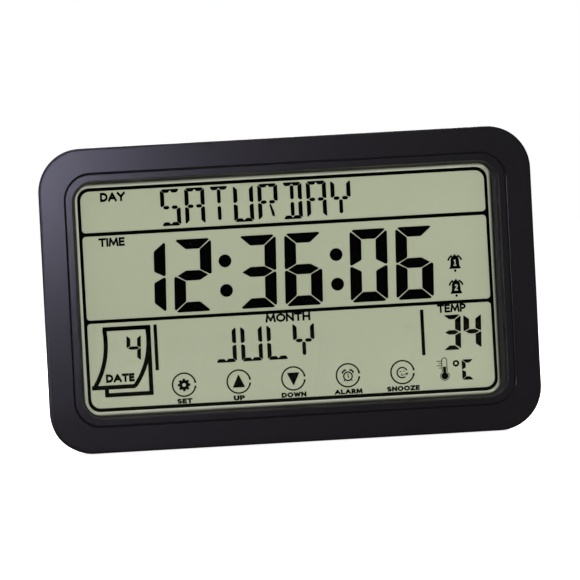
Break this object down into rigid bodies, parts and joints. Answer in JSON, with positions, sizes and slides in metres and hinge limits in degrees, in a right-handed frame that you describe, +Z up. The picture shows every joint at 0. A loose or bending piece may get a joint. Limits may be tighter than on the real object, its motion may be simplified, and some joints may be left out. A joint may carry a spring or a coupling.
{
  "type": "day clock",
  "caption": "Battery day clock: wide plastic case with a sloped frame round a large liquid-crystal display, touch keys, fold-out stand, keyhole slots and sliding battery door.",
  "frame": {"origin": "centre of the clock's footprint on the surface it stands on", "axes": "-Y towards the reader, +X to the reader's right, +Z up"},
  "size_m": [0.2256, 0.027, 0.1378],
  "materials": {
    "case_black": "black plastic with a fine satin spark texture",
    "clear_window": "clear polished acrylic",
    "black_tape": "black double-sided adhesive tape",
    "clear_film": "clear polyester film with printed electrodes",
    "grey_polarizer": "grey-green reflective display film",
    "display_glass": "thin polished glass",
    "zebra_rubber": "layered conductive rubber",
    "white_holder": "white moulded plastic",
    "green_board": "green coated fibreglass board",
    "black_resin": "black potting resin",
    "chip_plastic": "black moulded chip body",
    "crystal_can": "bright drawn can",
    "capacitor_sleeve": "dark shrink sleeve on a small can",
    "sensor_resin": "black dipped resin",
    "buzzer_black": "black moulded sounder case",
    "screw_steel": "zinc-plated steel",
    "contact_nickel": "nickel-plated spring steel",
    "cell_jacket": "printed cell jacket over a steel can",
    "pin_steel": "plain steel rod"
  },
  "bodies": {
    "case": {"front_housing": "case_black", "display_window": "clear_window", "window_tape": "black_tape", "touch_film": "clear_film", "front_polarizer": "grey_polarizer", "lcd_front_glass": "display_glass", "lcd_rear_glass": "display_glass", "rear_polarizer": "grey_polarizer", "zebra_strips": "zebra_rubber", "lcd_holder": "white_holder", "main_board": "green_board", "clock_chip": "black_resin", "touch_chip": "chip_plastic", "quartz_crystal": "crystal_can", "capacitors": "capacitor_sleeve", "temperature_sensor": "sensor_resin", "buzzer": "buzzer_black", "board_screws": "screw_steel", "rear_housing": "case_black", "case_screws": "screw_steel", "battery_contacts": "contact_nickel", "battery_upper": "cell_jacket", "battery_middle": "cell_jacket", "battery_lower": "cell_jacket", "battery_springs": "contact_nickel", "stand_pin": "pin_steel"},
    "door": {"battery_door": "case_black"},
    "stand": {"stand_leg": "case_black"}
  },
  "joints": [
    {"name": "stand_hinge", "type": "hinge", "parent": "case", "child": "stand", "pos_m": [0, 0.0111, 0.092], "axis": [1, 0, 0], "range_deg": [0, 40]},
    {"name": "door_slide", "type": "slide", "parent": "case", "child": "door", "axis": [-1, 0, 0], "range_m": [0, 0.07]}
  ]
}
